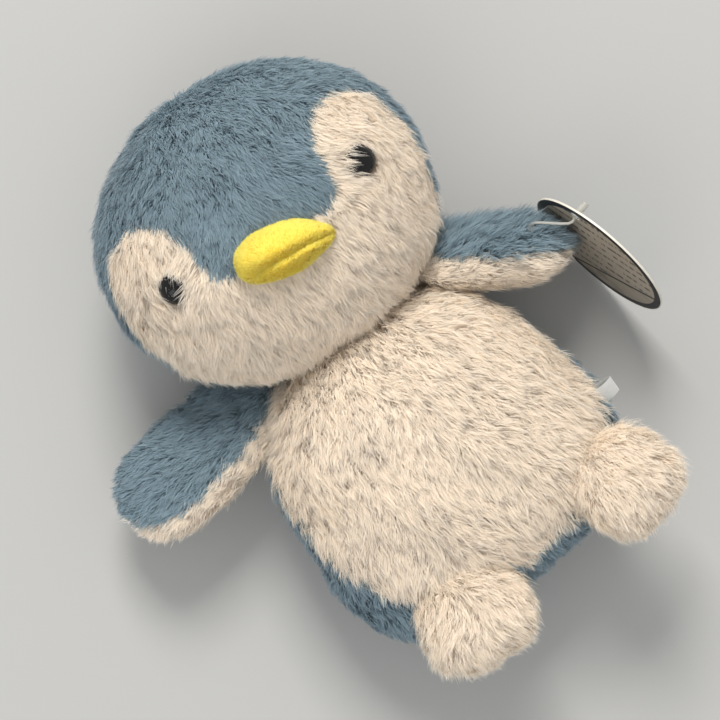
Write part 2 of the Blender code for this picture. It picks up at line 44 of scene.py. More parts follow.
# Vectors and frames.


# Each row divided by its length.
def unit(rows):
    return rows / np.maximum(np.linalg.norm(rows, axis=-1, keepdims=True), 1e-12)


# A 4 x 4 frame at a point: Y runs along, Z is the part of normal square to Y, and X is Y cross Z.
def frameAt(point, along, normal):
    y = unit(np.array(along, float))
    normal = np.array(normal, float)
    z = unit(normal - y * (y @ normal))
    made = np.eye(4)
    made[:3, 0], made[:3, 1], made[:3, 2], made[:3, 3] = np.cross(y, z), y, z, point
    return made


# A 4 x 4 frame at a point, turned by an angle about Z: X is (cos, sin, 0) and Y is (-sin, cos, 0).
def turnedFrame(point, degrees):
    angle = math.radians(degrees)
    return frameAt(point, (-math.sin(angle), math.cos(angle), 0.0), (0.0, 0.0, 1.0))


# A frame's own coordinates to the layout's: rotation times point, plus the frame's place.
def outOf(matrix, points):
    return points @ matrix[:3, :3].T + matrix[:3, 3]


# The layout's coordinates to a frame's own: the point less the frame's place, times the rotation's inverse.
def into(matrix, points):
    return (points - matrix[:3, 3]) @ matrix[:3, :3]


# A smooth random field of about -1 to 1: sine waves in random directions, each about size long, are added
# and divided by the root of their number.
def drift(points, size, seed, waves=9):
    rng = np.random.default_rng(seed)
    waveVectors = unit(rng.normal(size=(waves, 3))) * rng.uniform(0.6, 1.5, (waves, 1))
    waveVectors = waveVectors * (2 * math.pi / size)
    return np.sin(points @ waveVectors.T + rng.uniform(0, 2 * math.pi, waves)).sum(1) / math.sqrt(waves)


# Zero at low, one at high and 3t^2 - 2t^3 between them.
def ease(x, low, high):
    t = np.clip((x - low) / (high - low), 0.0, 1.0)
    return t * t * (3.0 - 2.0 * t)


# A superellipse's height over its half width t: (1 - |t|^n)^(1/n).
def roundOff(t, power):
    return np.maximum(0.0, 1.0 - np.minimum(1.0, np.abs(t)) ** power) ** (1.0 / power)


# Points along a Catmull-Rom curve through the given ones, steps to each gap.
def smoothThrough(points, steps=6):
    points = np.array(points, float)
    padded = np.concatenate([points[:1], points, points[-1:]])
    a, b, c, d = (padded[i:len(padded) - 3 + i, None] for i in range(4))
    t = (np.arange(steps) / steps)[None, :, None]
    bend, twist = 2 * a - 5 * b + 4 * c - d, 3 * b - 3 * c + d - a
    line = 0.5 * (2 * b + (c - a) * t + bend * t ** 2 + twist * t ** 3)
    return np.concatenate([line.reshape(-1, points.shape[1]), points[-1:]])


# Forms: surface() moves points of the unit sphere, and share() is 0 at the middle and 1 on the form.
headValues = {"centre": (0.0, 0.1030, 0.0460), "half": (0.0650, 0.0560), "front": 0.0450,
              "back": 0.0490, "lean": -6.4, "cheek": 0.05}
torsoValues = {"centre": (-0.0091, -0.0040, 0.0340), "half": (0.0600, 0.0600), "depth": 0.0370,
               "taper": 0.14, "round": 2.8, "endRound": 2.4, "seamRise": 0.0093,
               "seamNormal": (0.09, 0.26, 1.0)}
wingLeftValues = {"start": (-0.0330, 0.0550, 0.0290), "end": (-0.1120, 0.0510, 0.0290),
                  "normal": (0.0, 0.36, 0.93), "seam": (0.0, 0.656, 0.755), "half": 0.0225,
                  "thick": 0.0120, "root": 0.85, "round": 3.0}
wingRightValues = {"start": (0.0265, 0.0590, 0.0330), "end": (0.0795, 0.0217, 0.0330),
                   "normal": (0.501, 0.706, 0.500), "seam": (0.573, 0.807, 0.139), "half": 0.0200,
                   "thick": 0.0140, "root": 0.85, "round": 3.0}
footValues = {"apart": 0.0350, "shift": 0.0005, "start": (-0.0370, 0.0510), "rise": 16.0,
              "splay": 0.10, "thick": 0.0150, "root": 0.80, "round": 2.5,
              "left": (0.0240, 0.0400), "right": (0.0218, 0.0385)}


# An ellipsoid with one depth before its side seam and another behind it: x = px * half * cheek, y alike,
# where cheek is 1 + fullness * |px * py| below the middle.
class HeadForm:
    def __init__(self, v):
        self.v, self.frame = v, turnedFrame(np.array(v["centre"]), v["lean"])

    def surface(self, p, inset):
        v = self.v
        depth = np.where(p[:, 2] > 0, v["front"], v["back"]) - inset
        cheek = 1.0 + v["cheek"] * np.maximum(0.0, -p[:, 1]) * np.abs(p[:, 0])
        wide, high = (p[:, axis] * (v["half"][axis] - inset) * cheek for axis in (0, 1))
        return outOf(self.frame, np.stack([wide, high, p[:, 2] * depth], 1))

    def share(self, points, inset):
        v, q = self.v, into(self.frame, points)
        depth = np.where(q[:, 2] > 0, v["front"], v["back"])
        sizes = np.stack([np.full(len(q), v["half"][0]), np.full(len(q), v["half"][1]), depth], 1) - inset
        return np.linalg.norm(q / sizes, axis=1)


outside = 9.0  # added to the share past a form's ends


# A body along its frame's Y, from middle - reach to middle + reach, with sizes() for its width and depth.
class RoundForm:
    middle = 0.0

    def surface(self, p, inset):
        ring = np.maximum(1e-9, np.hypot(p[:, 0], p[:, 2]))
        wide, deep = self.sizes(p[:, 1], inset)
        along = self.middle + p[:, 1] * (self.reach - inset)
        return outOf(self.frame, np.stack([p[:, 0] / ring * wide, along, p[:, 2] / ring * deep], 1))

    def share(self, points, inset):
        q = into(self.frame, points)
        t = (q[:, 1] - self.middle) / (self.reach - inset)
        wide, deep = (np.maximum(size, 1e-4) for size in self.sizes(t, inset))
        return np.hypot(q[:, 0] / wide, q[:, 2] / deep) + outside * (np.abs(t) >= 1)


# A pear: it is half * roundOff(t, round) * (1 - taper * t) wide and depth * roundOff(t, endRound) deep.
class TorsoForm(RoundForm):
    def __init__(self, v):
        self.v, self.frame, self.reach = v, turnedFrame(np.array(v["centre"]), 0.0), v["half"][1]

    def sizes(self, t, inset):
        v = self.v
        wide = (v["half"][0] - inset) * roundOff(t, v["round"]) * (1.0 - v["taper"] * t)
        return wide, (v["depth"] - inset) * roundOff(t, v["endRound"])


# A flipper or foot: its width is half * roundOff(t, round), and width and depth shrink towards the root.
class PaddleForm(RoundForm):
    rootDepth = 0.55

    def __init__(self, matrix, length, half, v):
        self.frame, self.seam, self.half, self.v = matrix, matrix, half, v
        self.middle = self.reach = length / 2.0

    def sizes(self, t, inset):
        end, root = (1.0 + t) / 2.0, self.v["root"]
        wide = (self.half - inset) * roundOff(t, self.v["round"]) * (root + (1.0 - root) * end)
        deep = (self.v["thick"] - inset) * roundOff(t, 2.0)
        return wide, deep * (self.rootDepth + (1.0 - self.rootDepth) * end)


# A flipper from its root's middle to its tip; its two panels meet on the plane square to the seam's normal.
def wingForm(v):
    start, along = np.array(v["start"]), np.array(v["end"]) - v["start"]
    made = PaddleForm(frameAt(start, along, v["normal"]), float(np.linalg.norm(along)), v["half"], v)
    made.seam = frameAt(start, along, v["seam"])
    return made


# A foot that rises by its angle out of the belly.
def footForm(v, name, side):
    rise = math.radians(v["rise"])
    start = (side * v["apart"] + v["shift"], *v["start"])
    along = (side * v["splay"], -math.cos(rise), math.sin(rise))
    half, length = v[name]
    return PaddleForm(frameAt(start, along, (0.0, math.sin(rise), math.cos(rise))), length, half, v)


head, torso = HeadForm(headValues), TorsoForm(torsoValues)
wingLeft, wingRight = wingForm(wingLeftValues), wingForm(wingRightValues)
footLeft, footRight = footForm(footValues, "left", -1), footForm(footValues, "right", 1)


# Shader graphs.


# One output of a shader graph; arithmetic on it adds Math nodes.
class Value:
    def __init__(self, graph, socket):
        self.graph, self.socket = graph, socket

    def step(self, operation, first, second=0.0, third=0.0):
        return self.graph.node("ShaderNodeMath", {"operation": operation}, {0: first, 1: second, 2: third})

    def __add__(self, other): return self.step("ADD", self, other)
    def __radd__(self, other): return self.step("ADD", other, self)
    def __sub__(self, other): return self.step("SUBTRACT", self, other)
    def __rsub__(self, other): return self.step("SUBTRACT", other, self)
    def __mul__(self, other): return self.step("MULTIPLY", self, other)
    def __rmul__(self, other): return self.step("MULTIPLY", other, self)
    def __truediv__(self, other): return self.step("DIVIDE", self, other)
    def __pow__(self, other): return self.step("POWER", self, other)
    def __abs__(self): return self.step("ABSOLUTE", self)
    def under(self, limit): return self.step("LESS_THAN", self, limit)
    def over(self, limit): return self.step("GREATER_THAN", self, limit)
    def fract(self): return self.step("FRACT", self)
    def floor(self): return self.step("FLOOR", self)
    def most(self, other): return self.step("MAXIMUM", self, other)

    # Zero at low, one at high, and smooth between them.
    def rise(self, low, high):
        return self.graph.node("ShaderNodeMapRange", {"interpolation_type": "SMOOTHSTEP"},
                               {"Value": self, "From Min": low, "From Max": high})


# A material's node graph around one Principled BSDF.
class Graph:
    def __init__(self, name, roughness, **constants):
        self.material = bpy.data.materials.new(name)
        self.material.use_nodes = True
        self.tree = self.material.node_tree
        self.shader = self.tree.nodes["Principled BSDF"]
        self.shader.inputs["Roughness"].default_value = roughness
        for socket, value in constants.items():
            self.shader.inputs[socket.replace("_", " ")].default_value = value

    # Any node: its settings first, then each input's value or link.
    def node(self, kind, settings=(), inputs=(), output=0):
        made = self.tree.nodes.new(kind)
        for name, value in dict(settings).items():
            setattr(made, name, value)
        for name, value in dict(inputs).items():
            self.feed(made.inputs[name], value)
        return Value(self, made.outputs[output])

    # Links a Value to a socket, or sets the socket to a plain one.
    def feed(self, socket, value):
        if isinstance(value, Value):
            self.tree.links.new(value.socket, socket)
        else:
            socket.default_value = value

    # Links or sets one of the Principled BSDF's inputs.
    def give(self, socket, value):
        self.feed(self.shader.inputs[socket], value)
        return self

    # Shows another shader's output in place of a constant share of the Principled BSDF.
    def blendWith(self, other, share):
        both = self.node("ShaderNodeMixShader", {}, {0: share, 2: other})
        self.tree.links.new(self.shader.outputs["BSDF"], both.socket.node.inputs[1])
        self.tree.links.new(both.socket, self.tree.nodes["Material Output"].inputs["Surface"])

    # A number that the mesh holds for each vertex.
    def attribute(self, name):
        return self.node("ShaderNodeAttribute", {"attribute_name": name}, output="Fac")

    # Object coordinates.
    def place(self):
        return self.node("ShaderNodeTexCoord", output="Object")

    # The distance of a place along a direction, from a point: (place - point) . direction.
    def along(self, place, point, direction):
        less = self.node("ShaderNodeVectorMath", {"operation": "SUBTRACT"}, {0: place, 1: tuple(point)})
        both = {0: less, 1: tuple(direction)}
        return self.node("ShaderNodeVectorMath", {"operation": "DOT_PRODUCT"}, both, output="Value")

    # Noise from 0 to 1, scale waves to the metre.
    def noise(self, place, scale, detail=2.0):
        inputs = {"Vector": place, "Scale": scale, "Detail": detail}
        return self.node("ShaderNodeTexNoise", {}, inputs, output="Fac")

    # Base Color between two sRGB colours by a fine noise over the piece.
    def speckle(self, scale, first, second, detail=2.0):
        grain = self.noise(self.place(), scale, detail)
        self.give("Base Color", self.mix(grain, colour(*first), colour(*second)))
        return self.material

    # a at factor 0 and b at factor 1.
    def mix(self, factor, a, b):
        return self.node("ShaderNodeMix", {"data_type": "RGBA"}, {0: factor, 6: a, 7: b}, output=2)

    # A colour times a number.
    def scale(self, shade, factor):
        return self.node("ShaderNodeVectorMath", {"operation": "SCALE"}, {0: shade, "Scale": factor})


# The linear values of an sRGB colour from 0 to 255: ((c + 0.055) / 1.055)^2.4, with alpha 1.
def colour(red, green, blue):
    c = np.array((red, green, blue)) / 255.0
    linear = np.where(c <= 0.04045, c / 12.92, ((c + 0.055) / 1.055) ** 2.4)
    return (*map(float, linear), 1.0)


# Each pile's colours: its darker root is painted shade deep in the pile, and its paler end is painted light
# on the tips.
pileColours = {
    "blue": {"root": (115, 138, 151), "tip": (148, 170, 181), "end": (182, 195, 202), "vary": 0.14,
             "through": 0.45},
    "cream": {"root": (252, 242, 229), "tip": (255, 247, 235), "end": (255, 252, 244), "vary": 0.04,
              "through": 0.62},
    "yellow": {"root": (252, 226, 78), "tip": (255, 245, 118), "end": (255, 250, 160), "vary": 0.06,
               "through": 0.45},
}


pileShading = {"tipFrom": 0.75, "endFrom": 0.70, "endShare": 0.60, "patches": 60.0, "patchShare": 0.80}


# Pile: from the root's colour to the tip's along the strand, paler at its very end, times each tuft's tone;
# the darker root is painted shade deep in the pile and the paler end is painted light on the tips.
def pileMaterial(name, v):
    graph, k = Graph(name, 0.85, Sheen_Weight=0.25, Sheen_Roughness=0.5), pileShading
    along, tuft = graph.attribute("along"), graph.attribute("tuft")
    shade = graph.mix(along.rise(0.0, k["tipFrom"]), colour(*v["root"]), colour(*v["tip"]))
    shade = graph.mix(along.rise(k["endFrom"], 1.0) * k["endShare"], shade, colour(*v["end"]))
    patch = graph.noise(graph.place(), k["patches"])
    tone = 1.0 + (tuft - 0.5) * v["vary"] + (patch - 0.5) * (v["vary"] * k["patchShare"])
    shade = graph.scale(shade, tone)
    graph.give("Base Color", shade)
    through = graph.node("ShaderNodeBsdfTranslucent", {}, {"Color": shade})
    graph.blendWith(through, v["through"])
    return graph.material


blueFabric = (pileMaterial("bluePile", pileColours["blue"]), "blue_pile")
creamFabric = (pileMaterial("creamPile", pileColours["cream"]), "cream_pile")
yellowFabric = (pileMaterial("yellowPile", pileColours["yellow"]), "yellow_velour")
print("pile materials made")


# How far the fabric and the pile stay above the floor.
floorGap = {"skin": 0.0016, "pile": 0.0004}


# A mesh object from points in the layout's coordinates and triangles, with attributes and vertex normals.
def meshObject(name, points, triangles, material, attributes=(), normals=None):
    mesh = bpy.data.meshes.new(name)
    mesh.vertices.add(len(points))
    mesh.vertices.foreach_set("co", (points - origin).astype(np.float32).ravel())
    mesh.loops.add(triangles.size)
    mesh.loops.foreach_set("vertex_index", triangles.astype(np.int32).ravel())
    mesh.polygons.add(len(triangles))
    mesh.polygons.foreach_set("loop_start", np.arange(0, triangles.size, 3, dtype=np.int32))
    mesh.update(calc_edges=True)
    mesh.polygons.foreach_set("use_smooth", np.ones(len(triangles), bool))
    for key, numbers in dict(attributes).items():
        mesh.attributes.new(key, "FLOAT", "POINT").data.foreach_set("value", numbers.astype(np.float32))
    if normals is not None:
        mesh.normals_split_custom_set_from_vertices(normals)
    mesh.materials.append(material)
    made = bpy.data.objects.new(name, mesh)
    bpy.context.scene.collection.objects.link(made)
    return made


# Points of the unit sphere in rings along Y with one point at each pole, and the triangles between them.
def sphereGrid(segments, rings):
    latitude = np.linspace(-math.pi / 2, math.pi / 2, rings + 1)[1:-1, None]
    turn = (np.arange(segments) * 2 * math.pi / segments)[None, :]
    ring = np.cos(latitude)
    body = np.stack([ring * np.cos(turn), np.sin(latitude) + 0.0 * turn, -ring * np.sin(turn)], -1)
    points = np.concatenate([[(0.0, -1.0, 0.0)], body.reshape(-1, 3), [(0.0, 1.0, 0.0)]])
    index = 1 + np.arange((rings - 1) * segments).reshape(rings - 1, segments)
    following = np.roll(index, -1, 1)
    a, b, c, d = index[:-1].ravel(), following[:-1].ravel(), following[1:].ravel(), index[1:].ravel()
    last = len(points) - 1
    caps = [np.stack([np.zeros(segments, int), following[0], index[0]], 1),
            np.stack([np.full(segments, last), index[-1], following[-1]], 1)]
    return points, np.concatenate([caps[0], np.stack([a, b, c], 1), np.stack([a, c, d], 1), caps[1]])


# Each vertex's normal: the sum of the cross products of the triangles around it, made one long.
def vertexNormals(points, triangles):
    corners = points[triangles]
    face = np.cross(corners[:, 1] - corners[:, 0], corners[:, 2] - corners[:, 0])
    total = np.zeros_like(points)
    for corner in range(3):
        np.add.at(total, triangles[:, corner], face)
    return unit(total)


# A form's fabric under its pile: the form less inset, with soft lumps along its normals, and off the floor.
class Skin:
    def __init__(self, form, inset, segments, rings, lump, lumpSize, seed, valley=None):
        self.form, self.inset = form, inset
        p, self.triangles = sphereGrid(segments, rings)
        flat = form.surface(p, inset)
        normals = vertexNormals(flat, self.triangles)
        rise = lump * drift(flat, lumpSize, seed)
        if valley is not None:
            rise = rise - valley(flat)
        self.points = flat + normals * rise[:, None]
        self.points[:, 2] = np.maximum(self.points[:, 2], floorGap["skin"])
        self.normals = vertexNormals(self.points, self.triangles)

    # The triangles whose middles are in the region.
    def part(self, region):
        return self.triangles[region(self.points[self.triangles].mean(1))]

    # Random points, density to the square millimetre, with their normals: triangles picked by area.
    def scatter(self, density, rng):
        corners = self.points[self.triangles]
        cross = np.cross(corners[:, 1] - corners[:, 0], corners[:, 2] - corners[:, 0])
        area = np.linalg.norm(cross, axis=1) / 2
        count = int(area.sum() * 1e6 * density)
        pick = np.searchsorted(np.cumsum(area), rng.uniform(0, area.sum(), count))
        pick = np.minimum(pick, len(area) - 1)
        a, b = rng.uniform(size=(2, count, 1))
        flip = a + b > 1
        a, b = np.where(flip, 1 - a, a), np.where(flip, 1 - b, b)
        weights = np.stack([1 - a - b, a, b], 1)
        chosen = self.triangles[pick]
        return (self.points[chosen] * weights).sum(1), unit((self.normals[chosen] * weights).sum(1))


# What every strand shares: how tufts and loose strands differ, and where a ribbon bends and narrows.
strandValues = {"leanDrift": 0.12, "driftSize": 0.6, "leanRange": (0.15, 1.45), "lengthRange": (0.5, 1.6),
                "looseGather": 0.1, "looseSpread": 1.5, "looseLean": 0.22, "tuftLean": 0.06,
                "looseLength": (0.55, 0.95), "tuftLength": (0.85, 1.05), "bend": 0.52, "bendLean": 0.55,
                "bendGather": 0.35, "roll": (0.35, 0.30), "widths": (0.75, 1.25), "waist": 0.85,
                "sunk": 0.0002, "jitter": 0.12, "toneSpread": 0.25, "middle": 0.55}


# The three triangles of each ribbon of five points: a root pair, a middle pair and a tip.
def ribbons(count):
    first = 5 * np.arange(count)[:, None]
    return np.concatenate([first + (0, 1, 3), first + (0, 3, 2), first + (2, 3, 4)])


# Tufts of strands on a skin: each strand is a ribbon of five points that bends from the normal towards the
# flow, a tuft's strands gather towards one tip, and none goes past the floor or the wall.
def growPile(skin, region, flowAt, v, seed, lengthAt=None):
    rng, k = np.random.default_rng(seed), strandValues
    centre, normal = skin.scatter(v["tufts"], rng)
    kept = region(centre)
    centre, normal = centre[kept], normal[kept]
    flow = flowAt(centre)
    flow = unit(flow - normal * (flow * normal).sum(1, keepdims=True))
    side = np.cross(normal, flow)
    count = len(centre)
    swing = v["swirl"] * drift(centre, v["swirlSize"], seed + 1) + v["stray"] * rng.normal(size=count)
    swing = swing[:, None]
    flow, side = flow * np.cos(swing) + side * np.sin(swing), side * np.cos(swing) - flow * np.sin(swing)
    lean = v["lean"] + k["leanDrift"] * drift(centre, v["swirlSize"] * k["driftSize"], seed + 2)
    lean = np.clip(lean + v["leanSpread"] * rng.normal(size=count), *k["leanRange"])
    length = v["length"] * np.clip(1.0 + v["lengthSpread"] * rng.normal(size=count), *k["lengthRange"])
    if lengthAt is not None:
        length = length * lengthAt(centre)
    tuft = rng.uniform(size=count)

    each = v["strands"]
    centre, normal, flow, side = (np.repeat(x, each, 0) for x in (centre, normal, flow, side))
    lean, length, tuft = (np.repeat(x, each)[:, None] for x in (lean, length, tuft))
    total = count * each
    column = (total, 1)
    loose = (np.arange(total) % each < v["loose"])[:, None]
    gather = np.where(loose, k["looseGather"], rng.uniform(*v["gather"], column))
    spread = v["spread"] * np.where(loose, k["looseSpread"], 1.0)
    away = (flow * rng.normal(size=column) + side * rng.normal(size=column)) * spread
    lean = lean + np.where(loose, k["looseLean"], k["tuftLean"]) * rng.normal(size=column)
    looseLength, tuftLength = rng.uniform(*k["looseLength"], column), rng.uniform(*k["tuftLength"], column)
    length = length * np.where(loose, looseLength, tuftLength)
    root = centre + away
    rise = k["bendLean"] * lean
    middle = root - away * gather * k["bendGather"]
    middle = middle + k["bend"] * length * (np.cos(rise) * normal + np.sin(rise) * flow)
    tip = centre + away * (1 - gather) + length * (np.cos(lean) * normal + np.sin(lean) * flow)
    out, forward = k["roll"]
    across = unit(side + out * normal * rng.normal(size=column) + forward * flow * rng.normal(size=column))
    facing = unit(np.cross(across, middle - root))
    outward = np.where((facing * normal).sum(1, keepdims=True) < 0, -1.0, 1.0)
    across, facing = across * outward, facing * outward
    half = v["width"] / 2 * rng.uniform(*k["widths"], column)
    root = root - normal * k["sunk"]
    points = np.stack([root - across * half, root + across * half, middle - across * half * k["waist"],
                       middle + across * half * k["waist"], tip], 1).reshape(-1, 3)
    points[:, 2] = np.maximum(points[:, 2], floorGap["pile"])
    if "wall" in v:
        place, beyond = v["wall"]
        points = points - np.maximum(0.0, (points - place) @ beyond)[:, None] * beyond
    shown = normal * v["soften"] + facing * (1 - v["soften"]) + k["jitter"] * rng.normal(size=(total, 3))
    own = np.clip(tuft + k["toneSpread"] * (rng.uniform(size=column) - 0.5), 0, 1)
    along = np.tile((0.0, 0.0, k["middle"], k["middle"], 1.0), total)
    return {"points": points, "normals": np.repeat(unit(shown), 5, 0), "root": root, "along": along,
            "tuft": np.repeat(own[:, 0], 5)}


# The strands whose roots no other form holds.
def clearOf(pile, forms):
    inside = np.zeros(len(pile["root"]), bool)
    for form, inset in forms:
        inside |= form.share(pile["root"], inset) < 1.0
    kept = np.flatnonzero(~inside)
    points = (5 * kept[:, None] + np.arange(5)).ravel()
    shown = {key: pile[key][points] for key in ("points", "normals", "along", "tuft")}
    return {**shown, "triangles": ribbons(len(kept))}


# One fabric panel: the part of a skin in a region, with its pile, as one piece on a body.
def makePanel(name, skin, region, flowAt, v, seed, fabric, body, nodes, others=(), lengthAt=None):
    material, slot = fabric
    pile = clearOf(growPile(skin, region, flowAt, v, seed, lengthAt), others)
    cloth = skin.part(region)
    used, cloth = np.unique(cloth, return_inverse=True)
    cloth = cloth.reshape(-1, 3)
    points = np.concatenate([skin.points[used], pile["points"]])
    triangles = np.concatenate([cloth, pile["triangles"] + len(used)])
    # The cloth is at along 0, so it takes the pile's root colour, which is painted shade under the strands.
    attributes = {"along": np.concatenate([np.zeros(len(used)), pile["along"]]),
                  "tuft": np.concatenate([np.full(len(used), 0.5), pile["tuft"]])}
    normals = np.concatenate([skin.normals[used], pile["normals"]])
    made = meshObject(name, points, triangles, material, attributes, normals)
    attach(made, body)
    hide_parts(*nodes)
    print(name, len(triangles), "triangles")


# The face's outline, in the head's own plane.
lobePoints = [(0.0000, -0.0080), (0.0200, -0.0110), (0.0272, -0.0060), (0.0290, 0.0060), (0.0335, 0.0190),
              (0.0455, 0.0245), (0.0560, 0.0180), (0.0612, 0.0050), (0.0618, -0.0080), (0.0590, -0.0240),
              (0.0500, -0.0520), (0.0300, -0.0760)]
lobe = smoothThrough(lobePoints)
outline = np.concatenate([lobe, lobe[:0:-1] * (-1.0, 1.0)])


# Whether each 2-D point is inside a closed outline: an odd number of edges cross the line to its right.
def insideOutline(points, line):
    x, y = points[:, :1], points[:, 1:]
    a, b = line, np.roll(line, -1, 0)
    crosses = (a[:, 1] > y) != (b[:, 1] > y)
    slope = (b[:, 0] - a[:, 0]) / np.where(b[:, 1] == a[:, 1], 1e-12, b[:, 1] - a[:, 1])
    return (crosses & (x < a[:, 0] + (y - a[:, 1]) * slope)).sum(1) % 2 == 1


# Each 2-D point's distance from the nearest edge of an outline.
def outlineDistance(points, line):
    a, b = line[None], np.roll(line, -1, 0)[None]
    edge = b - a
    t = np.clip(((points[:, None] - a) * edge).sum(2) / np.maximum((edge ** 2).sum(2), 1e-12), 0, 1)
    return np.linalg.norm(points[:, None] - a - edge * t[..., None], axis=2).min(1)


# The head: a blue cap and back, and the cream face.
eyeValues = {"at": (0.0414, -0.0033), "radius": 0.0062, "height": 0.0050, "sink": 0.0020, "lid": 0.0085,
             "pull": 1.6, "longer": 0.30, "well": 0.0004, "wellDepth": 0.012,
             "shank": [(0.0004, -0.0140), (0.0018, -0.0140), (0.0022, -0.0040)],
             "collar": (0.0024, 0.0010), "brim": (0.94, 0.0008)}
flowValues = {"headOut": 9.0, "headIn": 0.15, "torsoOut": 8.0, "torsoIn": 0.10}
skinInset = 0.0028
seamValley = {"depth": 0.0012, "reach": 0.0035}
pileValues = {"tufts": 0.46, "strands": 15, "loose": 8, "spread": 0.0011, "length": 0.0060,
              "lengthSpread": 0.14, "lean": 1.00, "leanSpread": 0.10, "stray": 0.26, "swirl": 0.26,
              "swirlSize": 0.030, "width": 0.00030, "soften": 0.85, "gather": (0.40, 0.80)}


# The common pile with some of its values changed.
def values(**changes):
    return {**pileValues, **changes}


# A frame on the front of the head, across and up from its middle: Z is the ellipsoid's normal there.
def onFace(across, up):
    v = headValues
    a, b = across / v["half"][0], up / v["half"][1]
    c = math.sqrt(1 - a * a - b * b)
    normal = head.frame[:3, :3] @ unit(np.array((a / v["half"][0], b / v["half"][1], c / v["front"])))
    return frameAt(outOf(head.frame, np.array((across, up, c * v["front"]))), head.frame[:3, 1], normal)


# The round column through an eye, which holds no strand's root.
class EyeWell:
    def __init__(self, side):
        self.frame = onFace(side * eyeValues["at"][0], eyeValues["at"][1])

    def share(self, points, inset):
        q = into(self.frame, points)
        past = np.abs(q[:, 2]) > eyeValues["wellDepth"]
        return np.hypot(q[:, 0], q[:, 1]) / (eyeValues["radius"] - inset) + outside * past


# The head's own coordinates, with the inset skin's x and y brought out to the pile's surface.
def headLocal(points):
    q = into(head.frame, points)
    grow = np.array(headValues["half"]) / (np.array(headValues["half"]) - skinInset)
    return q[:, :2] * grow, q[:, 2]


# Before the side seam and inside the outline.
def inFace(points):
    flat, z = headLocal(points)
    return (z > 0) & insideOutline(flat, outline)


# Before the side seam and outside the outline.
def inCap(points):
    flat, z = headLocal(points)
    return (z > 0) & ~insideOutline(flat, outline)


# Behind the side seam: z is not over 0.
def inHeadBack(points):
    return headLocal(points)[1] <= 0


# How far the seam round the face draws the fabric in: depth at the outline, and nothing past its reach.
def faceValley(points):
    flat, z = headLocal(points)
    depth = seamValley["depth"] * (1 - ease(outlineDistance(flat, outline), 0.0, seamValley["reach"]))
    return np.where(z > 0, depth, 0.0)


# Each point's way across to the nearer eye, and its nearness: exp(-(distance / lid)^2).
def eyeNearness(points):
    flat = headLocal(points)[0]
    across = np.sign(flat[:, 0]) * eyeValues["at"][0] - flat[:, 0]
    up = eyeValues["at"][1] - flat[:, 1]
    return across, np.exp(-(across ** 2 + up ** 2) / eyeValues["lid"] ** 2)


# The pile runs along (x * headOut, -1, -headIn), and towards the eye's middle from both sides near it.
def headFlow(points):
    k, q = flowValues, into(head.frame, points)
    across, near = eyeNearness(points)
    pull = eyeValues["pull"] * near * across / eyeValues["radius"]
    ones = np.ones(len(q))
    local = np.stack([q[:, 0] * k["headOut"] * (1 - near) + pull, -ones, -k["headIn"] * ones], 1)
    return local @ head.frame[:3, :3].T


# Strands near an eye are longer, by 1 + longer * nearness.
def faceLength(points):
    return 1.0 + eyeValues["longer"] * eyeNearness(points)[1]


headSkin = Skin(head, skinInset, segments=150, rings=96, lump=0.0005, lumpSize=0.030, seed=11,
                valley=faceValley)
limbInset, rootInset = 0.0030, 0.0050
wingForms = [(wingLeft, limbInset), (wingRight, limbInset)]
bodyForms = [(torso, skinInset), *wingForms]
eyeWells = [(EyeWell(side), eyeValues["well"]) for side in (-1, 1)]
makePanel("headCap", headSkin, inCap, headFlow, values(length=0.0058), 21, blueFabric, "head",
          ["head_cap", "head_filling"], bodyForms)
makePanel("facePanel", headSkin, inFace, headFlow, values(length=0.0068, tufts=0.44), 22, creamFabric, "head",
          ["face_panel"], [*bodyForms, *eyeWells], lengthAt=faceLength)
makePanel("headBack", headSkin, inHeadBack, headFlow, values(tufts=0.14, width=0.0006), 23, blueFabric,
          "head", ["head_back"], bodyForms)


# The torso: a cream belly and two blue back panels.
seamFrame = frameAt(np.array(torsoValues["centre"]) + (0, 0, torsoValues["seamRise"]),
                    np.cross(torsoValues["seamNormal"], (1.0, 0.0, 0.0)), torsoValues["seamNormal"])


# Above the side seam's plane: z in its frame is over 0.
def inBelly(points):
    return into(seamFrame, points)[:, 2] > 0


# Below that plane, and left of the back's centre seam.
def inBackLeft(points):
    return ~inBelly(points) & (points[:, 0] < torsoValues["centre"][0])


# Below that plane, and right of the back's centre seam.
def inBackRight(points):
    return ~inBelly(points) & (points[:, 0] >= torsoValues["centre"][0])


# The pile runs towards the feet, and a little outwards: along (x * torsoOut, -1, -torsoIn).
def torsoFlow(points):
    k, q = flowValues, into(torso.frame, points)
    ones = np.ones(len(q))
    return np.stack([q[:, 0] * k["torsoOut"], -ones, -k["torsoIn"] * ones], 1)


torsoSkin = Skin(torso, skinInset, segments=150, rings=90, lump=0.0007, lumpSize=0.032, seed=12)
limbForms = [(head, rootInset), *wingForms, (footLeft, limbInset), (footRight, limbInset)]
bellyPile = values(length=0.0072, tufts=0.40, strands=12, loose=6, lean=1.04, width=0.00036)
backPile = values(tufts=0.16, width=0.0006)
makePanel("bellyPanel", torsoSkin, inBelly, torsoFlow, bellyPile, 31, creamFabric, "torso",
          ["belly_panel", "body_filling"], limbForms)
makePanel("backPanelLeft", torsoSkin, inBackLeft, torsoFlow, backPile, 32, blueFabric, "torso",
          ["back_panel_left"], limbForms)
makePanel("backPanelRight", torsoSkin, inBackRight, torsoFlow, backPile, 33, blueFabric, "torso",
          ["back_panel_right"], limbForms)


# The limbs: two panels each, which meet on the limb's seam plane.


# The pile runs along the limb, and out from its middle line: along (x * spread, 1, 0).
def limbFlow(form, spread):
    def flowAt(points):
        q = into(form.frame, points)
        local = np.stack([q[:, 0] * spread, np.ones(len(q)), 0.0 * q[:, 0]], 1)
        return local @ form.frame[:3, :3].T
    return flowAt


